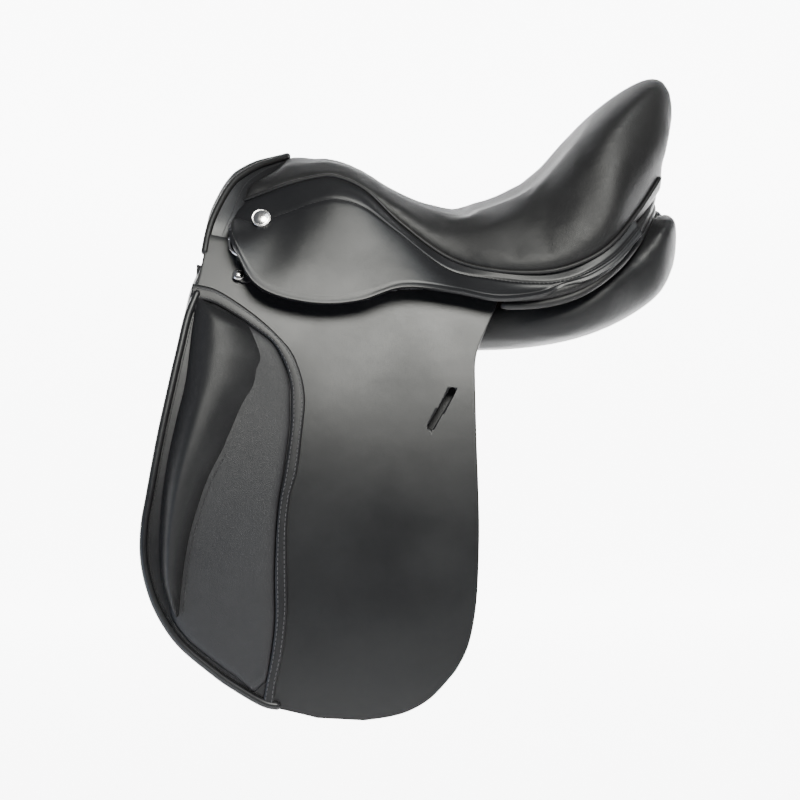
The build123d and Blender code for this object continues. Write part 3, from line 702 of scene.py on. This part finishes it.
def moved_in(line, distance):
    """Side-view line moved to the left of its own direction."""
    step = np.gradient(line, axis=0)
    step /= np.linalg.norm(step, axis=1, keepdims=True)
    return line + distance * np.stack([-step[:, 1], step[:, 0]], axis=1)


def stitch_row(name, line, radius, material, pitch=4.6):
    """Row of stitches along a side-view line, on the near side's arc of this radius."""
    path = on_side(line, radius)
    return stitches(name, path, side_normals(path), material, pitch)


piping_path = on_side(moved_in(front_edge, 3.2), FLAP_OUT + 1.6)
piping_near = tube("flap_piping", piping_path, 4.0, FLAP_LEATHER, 16)
piping_thread = stitch_row("flap_piping_thread", moved_in(front_edge, 8.6), FLAP_OUT + 0.3, DARK_THREAD)

# ---------------------------------------------------------------- bindings of the knee pads
BINDING_OUT = [
    (-293, 72), (-271, 67), (-248, 54), (-227, 39), (-210, 24), (-195, 7), (-187, -11), (-183, -27),
    (-182, -44), (-185, -70), (-190, -106), (-197, -129), (-201, -163), (-201, -206), (-201, -241),
    (-206, -284), (-212, -311), (-215, -335),
]
BINDING_IN = [
    (-294, 58), (-272, 53), (-250, 41), (-233, 30), (-213, 15), (-201, -7), (-196, -27),
    (-196, -44), (-197, -69), (-203, -108), (-208, -135), (-211, -163), (-213, -206), (-213, -250),
    (-217, -284), (-222, -311), (-226, -334),
]


BAND_COUNT, BAND_ACROSS = 260, 14


def band_between(name, first, second, radius, crown, material, thickness):
    """Raised strip of leather between two side-view lines, highest in its middle."""
    a, b = curve(first, BAND_COUNT), curve(second, BAND_COUNT)
    s = np.linspace(0, 1, BAND_ACROSS)
    rise = crown * (4 * s * (1 - s)) ** 0.5
    rows = [on_side(a + (b - a) * t, radius + h) for t, h in zip(s, rise)]
    return thicken(grid(name, rows, material), thickness)


binding_near = band_between(
    "flap_binding", BINDING_IN, BINDING_OUT, FLAP_OUT + 2.2, 1.4, EDGE_LEATHER, 2.4
)
binding_threads = []
for i, t in enumerate((0.22, 0.78)):
    line = curve(BINDING_IN, BAND_COUNT) * (1 - t) + curve(BINDING_OUT, BAND_COUNT) * t
    binding_threads.append(stitch_row(f"flap_binding_thread_{i}", line, FLAP_OUT + 3.4, THREAD))

# ---------------------------------------------------------------- knee pads and thigh blocks
SEAM = [
    (-240, 36), (-231, 22), (-225, 9), (-223, -1), (-227, -10), (-231, -26), (-242, -43),
    (-256, -73), (-262, -86), (-278, -116), (-293, -159), (-301, -196), (-305, -230), (-307, -246),
]
VALLEY = [
    (-288, 60), (-290, 45), (-293, 28), (-299, -19), (-307, -52), (-315, -86), (-320, -114),
    (-323, -137), (-325, -170), (-324, -205), (-318, -228), (-309, -247),
]
PAD_FRONT = [
    (-292, 56), (-288, 10), (-283, -60), (-294, -120), (-304, -165), (-309, -205), (-316, -240),
    (-300, -268), (-270, -293), (-250, -308), (-234, -322),
]


def relief(name, first, second, profile, radius, material, across, count, ends):
    """Padded form between two side-view lines, with this many points across and along. profile
    gives its height over the run across, which falls to nothing over this share of each end."""
    a, b = curve(first, count), curve(second, count)
    s = np.linspace(0, 1, across)
    along = np.linspace(0, 1, count)
    fade = np.clip(np.minimum(along, 1 - along) / ends, 0, 1)
    fade = np.sqrt(fade * (2 - fade))
    rings = []
    for p, q, f, u in zip(a, b, fade, along):
        over = on_side(p + (q - p) * s[:, None], radius + profile(s, u) * f)
        under = on_side(q + (p - q) * s[1:-1, None], np.full(across - 2, radius - 1.5))
        rings.append(np.vstack([over, under]))
    return capped(name, rings, material)


# The thigh block: the share of its width where the crown runs, the crown's height at the ends,
# what it gains in the middle, and the rim's height.
CROWN_AT, CROWN_LOW, CROWN_MORE, BLOCK_RIM = 0.36, 17, 8.5, 3


def block_profile(s, u):
    """Thigh block: rounded crown near its front, then falling ever more steeply to its seam."""
    front = np.sin(np.clip(s / CROWN_AT, 0, 1) * np.pi / 2) ** 0.85
    back = np.cos(np.clip((s - CROWN_AT) / (1 - CROWN_AT), 0, 1) * np.pi / 2) ** 0.9
    crown = CROWN_LOW + CROWN_MORE * np.sin(np.pi * np.clip(u * 1.1, 0, 1)) ** 0.8
    return BLOCK_RIM + (crown - BLOCK_RIM) * np.minimum(front, back)


def pad_profile(s, u):
    """Knee pad: almost level, rounded off at both edges, and the same all along."""
    return 5.2 * (1 - np.abs(2 * s - 1) ** 6) ** 0.6


pad_near = relief(
    "knee_pad", PAD_FRONT, BINDING_IN[1:-1], pad_profile, FLAP_OUT, PAD_LEATHER, 50, 170, 0.03
)
block_near = relief(
    "thigh_block", VALLEY, SEAM, block_profile, FLAP_OUT, BLOCK_LEATHER, 48, 150, 0.045
)
seam_line = moved_in(curve(SEAM, 200), 3.5)[90:]
seam_thread = stitch_row("pad_seam_thread", seam_line, FLAP_OUT + 5.6, DARK_THREAD, 4.2)

# ---------------------------------------------------------------- pairs
# Hinge lines of the side leather: a point on each, its direction, and the run of the bend.
BENDS = {
    "flap": ((-282, -134.7, 49), (-0.9842, 0.0744, 0.1612), (-3, 9)),
    "skirt": ((-254, -117.8, 130.6), (-0.9678, 0.1231, 0.2196), (-4, 6)),
}


def bend_run(name, side):
    """Start and end of the leather's bend across a hinge line, in metres."""
    point, axis, run = BENDS[name]
    outward = side_normals([point])[0]
    down = np.cross(axis, outward)
    down /= np.linalg.norm(down) * -np.sign(down[2])
    ends = [np.array(point) + down * reach for reach in run]
    return [tuple(end * MM * (1, SIDES[side], 1)) for end in ends]


def pair(source, name, body, nodes=(), bend=None):
    """The near-side piece and its mirror image, each on its own side's body; when a bend is named, its
    run is worked out but not used, and the piece instead only has its place baked into its mesh, on no
    body.
    """
    for side in ("right", "left"):
        piece = mirrored(source, side, f"{name}_looks_{side}")
        own = body if body == "saddle" else f"{body}_{side}"
        if bend:
            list(bend_run(bend, side))
            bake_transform(piece)
        else:
            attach(piece, own)
        if nodes:
            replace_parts(piece, *[f"{node}_{side}" for node in nodes])


pair(welt_near, "welt", "saddle", ["welt"])
pair(skirt_near, "skirt", "skirt", ["skirt", "skirt_band"], bend="skirt")
pair(flap_near, "flap", "flap", ["flap", "flap_head"], bend="flap")
pair(piping_near, "flap_piping", "flap", ["flap_piping"], bend="flap")
pair(piping_thread, "flap_piping_thread", "flap", bend="flap")
pair(binding_near, "flap_binding", "flap", ["flap_binding"], bend="flap")
for i, row in enumerate(binding_threads):
    pair(row, f"flap_binding_thread_{i}", "flap", bend="flap")
pair(pad_near, "knee_pad", "flap", ["knee_pad"], bend="flap")
pair(block_near, "thigh_block", "flap", ["thigh_block"], bend="flap")
pair(seam_thread, "pad_seam_thread", "flap")

# ---------------------------------------------------------------- seam under the welt
SEAM_START = 22
seam_points = np.array([point for point, _ in skirt_seam_line])[SEAM_START:]
seam_normals = np.array([normal for _, normal in skirt_seam_line])[SEAM_START:]
seam_bed = seam_points - seam_normals * 0.6
skirt_seam = stitches("skirt_seam", seam_bed, seam_normals, DARK_THREAD, 4.2, 3.2, 0.36)
pair(skirt_seam, "skirt_seam", "saddle")

# ---------------------------------------------------------------- nails, chapes, rings and studs
def disc(name, centre, normal, profile, material, around=48):
    """Round piece turned about its normal: profile is a list of radius and height."""
    n = np.array(normal, float)
    n /= np.linalg.norm(n)
    u = np.cross(n, (0, 0, 1))
    u /= np.linalg.norm(u)
    v = np.cross(n, u)
    turn = np.linspace(0, 2 * np.pi, around, endpoint=False)
    rings = [
        np.array(centre) + n * high + r * (np.cos(turn)[:, None] * u + np.sin(turn)[:, None] * v)
        for r, high in profile
    ]
    return capped(name, rings, material)


NAIL_AT, NAIL_NORMAL = (-224, -104.5, 135.8), (-0.05, -0.86, 0.5)
NAIL_PROFILE = [
    (9.8, -2.4), (9.8, 0), (9.5, 0.7), (8.9, 1.0), (8.4, 0.75), (7.6, 0.8), (6.4, 1.3), (4, 1.8),
    (1.5, 2.0),
]
nail = disc("saddle_nail", NAIL_AT, NAIL_NORMAL, NAIL_PROFILE, CHROME)
pair(nail, "saddle_nail", "saddle", ["saddle_nail"])

STUD_AT = (-247, float(arc_y(855.1, 80)), 80)
STUD_PROFILE = [(5.8, 0), (5.8, 0.8), (5.2, 1.6), (3.8, 2.5), (1.5, 3.0)]
stud = disc("d_ring_stud", STUD_AT, side_normals([STUD_AT])[0], STUD_PROFILE, CHROME, 32)
pair(stud, "d_ring_stud", "saddle", ["d_ring_stud"])

# The D ring: half its width, its straight legs, half its bar, and the radii of bow and bar.
RING_HALF, RING_LEG, RING_BAR_HALF = 13, 6, 15.4
BOW_WIRE, BAR_WIRE = 2, 2.2
RING_AT = np.array((-242, float(arc_y(857.5, 115)), 115))
ring_out = side_normals([RING_AT])[0]
ring_down = np.cross((1, 0, 0), ring_out)
ring_down *= -np.sign(ring_down[2])
turn = np.linspace(0, np.pi, 40)
ends = (-RING_HALF, 0, 0), (RING_HALF, 0, 0)
bow = [RING_AT + ends[0], RING_AT + ends[0] + ring_down * RING_LEG]
for t in turn[1:-1]:
    drop = ring_down * (RING_LEG + RING_HALF * math.sin(t))
    bow.append(RING_AT + np.array((-RING_HALF * math.cos(t), 0, 0)) + drop)
bow += [RING_AT + ends[1] + ring_down * RING_LEG, RING_AT + ends[1]]
bar = [RING_AT - (RING_BAR_HALF, 0, 0), RING_AT, RING_AT + (RING_BAR_HALF, 0, 0)]
ring_bow = tube("ring_bow", curve(bow, 90), BOW_WIRE, CHROME, 14)
ring_bar = tube("ring_bar", curve(bar, 24), BAR_WIRE, CHROME, 14)
pair(ring_bow, "d_ring_bow", "d_ring", ["d_ring"])
pair(ring_bar, "d_ring_bar", "d_ring")

# The chape goes round the ring's bar and down to a rounded foot.
CHAPE_TOP, CHAPE_LOW, CHAPE_MIDDLE, CHAPE_HALF, CHAPE_FOOT = 112, 73, -240, 9, 9
CHAPE_ROUND, CHAPE_OUT, CHAPE_ACROSS = 4.9, 855, 20
chape_rows = []
for angle in np.linspace(math.radians(235), math.radians(-60), 26):
    rim = RING_AT + CHAPE_ROUND * (math.cos(angle) * ring_out - math.sin(angle) * ring_down)
    row = np.tile(rim, (CHAPE_ACROSS, 1))
    row[:, 0] = CHAPE_MIDDLE + np.linspace(-CHAPE_HALF, CHAPE_HALF, CHAPE_ACROSS)
    chape_rows.append(row)
for z in np.linspace(CHAPE_TOP, CHAPE_LOW, 30):
    foot = min(1, (z - CHAPE_LOW + 0.4) / CHAPE_FOOT)
    half = CHAPE_HALF * math.sqrt(1 - (1 - foot) ** 2)
    x = CHAPE_MIDDLE + np.linspace(-half, half, CHAPE_ACROSS)
    chape_rows.append(on_side(np.stack([x, np.full(CHAPE_ACROSS, z)], axis=1), CHAPE_OUT))
chape = thicken(grid("d_ring_chape", chape_rows, FLAP_LEATHER), 2.2, 0.5)
pair(chape, "d_ring_chape", "saddle", ["d_ring_chape"])

# ---------------------------------------------------------------- pommel
ARCH_COUNT = 80
FACING_RISE = 1.8
POMMEL = [
    (-196, 0, 193.5), (-212, -16, 189), (-226, -30, 185), (-240, -44, 178), (-251, -55, 170),
    (-262, -70, 155), (-273, -88, 133), (-278, -98, 116), (-281, -108, 100),
]
FACING_IN = [
    (-192, 0, 182), (-204, -15, 178), (-216, -28, 172), (-227, -42, 164), (-233, -54, 155),
    (-236, -66, 144), (-241, -80, 131), (-250, -92, 117), (-256, -101, 104),
]


def full_arch(near, count):
    """Near-side line from the centre, carried on over to the off side."""
    line = curve(near, count)
    return np.vstack([line[::-1], line[1:] * (1, -1, 1)])


outer, inner = full_arch(POMMEL, ARCH_COUNT), full_arch(FACING_IN, ARCH_COUNT)
bead = tube("pommel_piping", outer, 3.6, SEAT_LEATHER, 14)
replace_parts(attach(bead, "saddle"), "pommel_piping")

facing_rows = []
for t in np.linspace(0, 1, 12):
    row = outer * (1 - t) + inner * t
    row[:, 2] += FACING_RISE * math.sin(math.pi * t)
    facing_rows.append(row)
# The facing goes on under the seat, over the corners of the tree.
TUCK_RUN, TUCK_RISE, TUCK_HALF = 20, 9, 54
tuck = np.zeros_like(inner)
tuck[:, 0] = TUCK_RUN
tuck[:, 2] = TUCK_RISE * np.clip(np.abs(inner[:, 1]) / TUCK_HALF, 0, 1)
for t in np.linspace(0.25, 1, 4):
    facing_rows.append(inner * (1, 1 + 0.02 * t, 1) + tuck * t)
facing = thicken(grid("pommel_facing", facing_rows, FLAP_LEATHER), 2.6, 0, (-1, 0, 1))
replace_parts(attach(facing, "saddle"), "pommel_facing")
# The facing looks forward and up, and the more outwards the farther it is from the middle.
facing_normals = np.tile((-0.35, 0, 0.94), (len(inner), 1))
facing_normals[:, 1] = inner[:, 1] / 140
facing_line = outer * 0.45 + inner * 0.55 + (0, 0, 1.9)
facing_thread = stitches("pommel_facing_thread", facing_line, facing_normals, DARK_THREAD, 4.2)
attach(facing_thread, "saddle")

# ---------------------------------------------------------------- cantle facing and rolls
# The back end's outline from above: half an ellipse about this X, and points along it.
ROUND_X, ROUND_LONG, ROUND_WIDE, ROUND_COUNT = 70, 114, 148, 160
UPPER_ROLL = [
    (10, 59), (48, 60), (79, 66), (104, 76), (130, 94), (157, 122), (174, 146), (184, 157),
    (200, 162),
]
LOWER_ROLL = [
    (10, 50), (48, 51), (76, 56), (104, 67), (135, 88), (160, 113), (176, 133), (186, 144),
    (200, 150),
]


def wrap_path(profile, grow, start=14):
    """Line round the cantle at the heights of the profile, from the near to the off side."""
    turn = np.linspace(-90, 90, ROUND_COUNT)
    wide = ROUND_WIDE + grow
    x = ROUND_X + (ROUND_LONG + grow) * np.cos(np.radians(turn))
    y = wide * np.sin(np.radians(turn))
    lead = np.linspace(start, ROUND_X, 10)[:-1]
    x = np.concatenate([lead, x, lead[::-1]])
    y = np.concatenate([np.full(len(lead), -wide), y, np.full(len(lead), wide)])
    fine = smooth(profile, 12)
    z = np.interp(x, fine[:, 0], fine[:, 1])
    return np.stack([x, y, z], axis=1)


ROLLS = (("cantle_roll", UPPER_ROLL, 6.4, -3), ("panel_roll", LOWER_ROLL, 4.2, -1))
for name, profile, size, grow in ROLLS:
    roll = tube(name, wrap_path(profile, grow), size, SEAT_LEATHER, 18)
    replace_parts(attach(roll, "saddle"), name)

SEAT_UNDER = [(46, 78), (60, 80), (100, 91), (130, 109), (160, 140), (185, 171), (202, 188)]


# At the back the top of the wall leans in: from this X, over this run, by this much.
LEAN_FROM, LEAN_RUN, LEAN = 150, 40, 3


def facing_wall():
    """Leather from under the welt down to the upper roll, round the cantle."""
    low = wrap_path(UPPER_ROLL, -5, start=60)
    edge = seat_rail(4)
    high = low.copy()
    width = np.interp(low[:, 0], edge[:, 0], -edge[:, 1])
    ratio = np.clip(width / np.maximum(np.abs(low[:, 1]), 1), 0, 1)
    high[:, 1] = low[:, 1] * ratio
    fine = smooth(SEAT_UNDER, 10)
    high[:, 2] = np.interp(low[:, 0], fine[:, 0], fine[:, 1]) + 2
    high[:, 0] -= np.clip((low[:, 0] - LEAN_FROM) / LEAN_RUN, 0, 1) * LEAN
    return [high + (low - high) * t for t in np.linspace(0, 1, 10)]


wall = thicken(grid("cantle_facing", facing_wall(), FLAP_LEATHER), 2.0, 0, (1, 0, 0))
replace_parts(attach(wall, "saddle"), "cantle_facing")

# ---------------------------------------------------------------- panels
PANEL_AROUND = 48
# Corners are drawn in and sides pushed out to these shares of their distance.
CORNER_IN, SIDE_OUT = 0.9, 1.09
# Stations of the near panel: X, then its corners as Y and Z: low and inner, low and outer, high
# and outer, high and inner.
PANEL = [
    (-262, (-86, 48), (-112, 46), (-80, 108), (-60, 102)),
    (-200, (-90, 4), (-120, 12), (-70, 113), (-48, 106)),
    (-120, (-78, -4), (-124, 8), (-78, 102), (-42, 90)),
    (-40, (-56, -1), (-126, 9), (-100, 58), (-34, 56)),
    (30, (-48, -1), (-130, 11), (-122, 48), (-30, 54)),
    (80, (-44, 5), (-132, 16), (-134, 52), (-28, 60)),
    (120, (-40, 16), (-122, 27), (-128, 74), (-27, 78)),
    (155, (-37, 33), (-104, 42), (-104, 98), (-26, 98)),
    (182, (-36, 54), (-90, 60), (-86, 126), (-22, 130)),
    (196, (-34, 74), (-74, 80), (-70, 134), (-20, 136)),
    (202, (-30, 94), (-60, 98), (-58, 128), (-22, 130)),
]


def rounded(corners, count):
    """Closed smooth outline that bulges between its corners."""
    c = np.array(corners, float)
    middle = c.mean(axis=0)
    points = []
    for a, b in zip(c, np.roll(c, -1, axis=0)):
        points.append(middle + (a - middle) * CORNER_IN)
        half = (a + b) / 2
        points.append(middle + (half - middle) * SIDE_OUT)
    loop = np.vstack([points, points[:2]])
    line = smooth(np.vstack([points[-1:], loop]), 8)[8:-8]
    return curve(line, count + 1)[:-1]


def panel_rings():
    """Closed rings across the near panel, from front to rear."""
    controls = np.array([[(s[0], *corner) for corner in s[1:]] for s in PANEL], float)
    rails = np.stack([smooth(controls[:, k], LOFT_STEPS) for k in range(4)], axis=1)
    rings = []
    for rail in rails:
        outline = rounded(rail[:, 1:], PANEL_AROUND)
        rings.append(np.column_stack([np.full(PANEL_AROUND, rail[0, 0]), outline]))
    return rings


def none_of_panel(points):
    """Marks no point: all of the panel may move."""
    return np.zeros(len(points), bool)


panel_near = capped("panel", panel_rings(), PANEL_LEATHER)
inflate(panel_near, 6, 2.0, 3.0, none_of_panel)
pair(panel_near, "panel", "saddle", ["panel"])

# ---------------------------------------------------------------- sweat flaps and billets
SWEAT_FRONT = [
    (-286, 46), (-302, -20), (-320, -90), (-330, -160), (-325, -215), (-300, -262), (-255, -298),
    (-190, -322), (-120, -329),
]
SWEAT_REAR = [(-16, 42), (-24, -20), (-26, -130), (-30, -230), (-45, -285), (-75, -317), (-120, -329.5)]
sweat_rows = flap_surface(SWEAT_FRONT, SWEAT_REAR, SWEAT_OUT)
sweat = thicken(grid("sweat_flap", sweat_rows, PANEL_LEATHER), 2.8, 0.7)
pair(sweat, "sweat_flap", "saddle", ["sweat_flap"])
sweat_line = moved_in(np.vstack([curve(SWEAT_FRONT, 240), curve(SWEAT_REAR, 200)[::-1]]), 6)
sweat_thread = stitch_row("sweat_flap_thread", sweat_line, SWEAT_OUT + 0.1, DARK_THREAD)
pair(sweat_thread, "sweat_flap_thread", "saddle")

# Each billet's middle X and the radius its thread lies at, then where the rows of thread run.
BILLETS = {"front": (-128, 839.6), "rear": (-78, 844.2)}
THREAD_TOP, THREAD_END, THREAD_APART = 44, -300, 9.5
for place, (middle, radius) in BILLETS.items():
    for side in SIDES:
        node = f"billet_{place}_{side}"
        strap = look_of(node, f"billet_{place}_looks_{side}")
        strap.data.materials.clear()
        strap.data.materials.append(FLAP_LEATHER)
        soften = strap.modifiers.new("edge", "BEVEL")
        soften.width = 0.5 * MM
        soften.segments = 2
        soften.limit_method = "ANGLE"
        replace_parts(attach(strap, node), node)
    rows = []
    for shift in (-THREAD_APART, THREAD_APART):
        height = np.linspace(THREAD_TOP, THREAD_END, 120)
        line = np.stack([np.full_like(height, middle + shift), height], axis=1)
        rows.append(stitch_row(f"billet_{place}_thread", line, radius + 0.1, THREAD, 4.0))
    for i, row in enumerate(rows):
        pair(row, f"billet_{place}_thread_{i}", f"billet_{place}")

# ---------------------------------------------------------------- studio
def area_light(name, spot, target, size, power, colour):
    """Round soft light at one spot, turned towards another."""
    data = bpy.data.lights.new(name, "AREA")
    data.shape = "DISK"
    data.size = size
    data.energy = power
    data.color = colour
    light = bpy.data.objects.new(name, data)
    light.location = spot
    light.rotation_euler = (Vector(target) - Vector(spot)).to_track_quat("-Z", "Y").to_euler()
    bpy.context.collection.objects.link(light)


# Lights: where each is, what it is turned to, its width, power and colour.
area_light("key", (0.22, -1.8, 1.85), (-0.08, -0.1, 0), 1.2, 86, (1, 1, 0.94))
area_light("top", (0.7, -0.9, 2.2), (0.05, 0, 0.1), 0.8, 6, (0.85, 0.92, 1))
area_light("low", (-1.6, -1.2, -0.3), (-0.1, 0, -0.1), 1.0, 7, (0.6, 0.72, 1))

# The floor bends up into a wall behind the saddle.
FLOOR_Z, WALL_TOP = -800, 4000
BEND_Y, BEND_R, FLOOR_HALF = 2600, 900, 7000
turns = np.linspace(0.1, 1.5, 14)
bend = [(BEND_Y + BEND_R * math.sin(t), FLOOR_Z + BEND_R * (1 - math.cos(t))) for t in turns]
floor_profile = [(-FLOOR_HALF, FLOOR_Z), (BEND_Y, FLOOR_Z), *bend, (BEND_Y + BEND_R, WALL_TOP)]
floor_rows = [[(x, y, z) for x in (-FLOOR_HALF, 0, FLOOR_HALF)] for y, z in floor_profile]
grid("studio_floor", floor_rows, paper("studio_floor"))

world = bpy.data.worlds.new("studio")
bpy.context.scene.world = world
world.use_nodes = True
sky = world.node_tree.nodes["Background"]
sky.inputs["Color"].default_value = (0.86, 0.92, 1, 1)
sky.inputs["Strength"].default_value = 0.16

# Camera: azimuth -3, elevation 7 degrees, three metres from the middle of the saddle.
TARGET = Vector((-0.0789, 0, -0.0619))
AZIMUTH, ELEVATION, DISTANCE = math.radians(-3), math.radians(7), 3.0
FOCAL, SENSOR = 128.57, 36
level = math.cos(ELEVATION)
back = Vector((math.sin(AZIMUTH) * level, -math.cos(AZIMUTH) * level, math.sin(ELEVATION)))
lens = bpy.data.cameras.new("camera")
lens.lens, lens.sensor_width = FOCAL, SENSOR
camera = bpy.data.objects.new("camera", lens)
camera.location = TARGET + back * DISTANCE
camera.rotation_euler = (-back).to_track_quat("-Z", "Y").to_euler()
bpy.context.collection.objects.link(camera)
bpy.context.scene.camera = camera
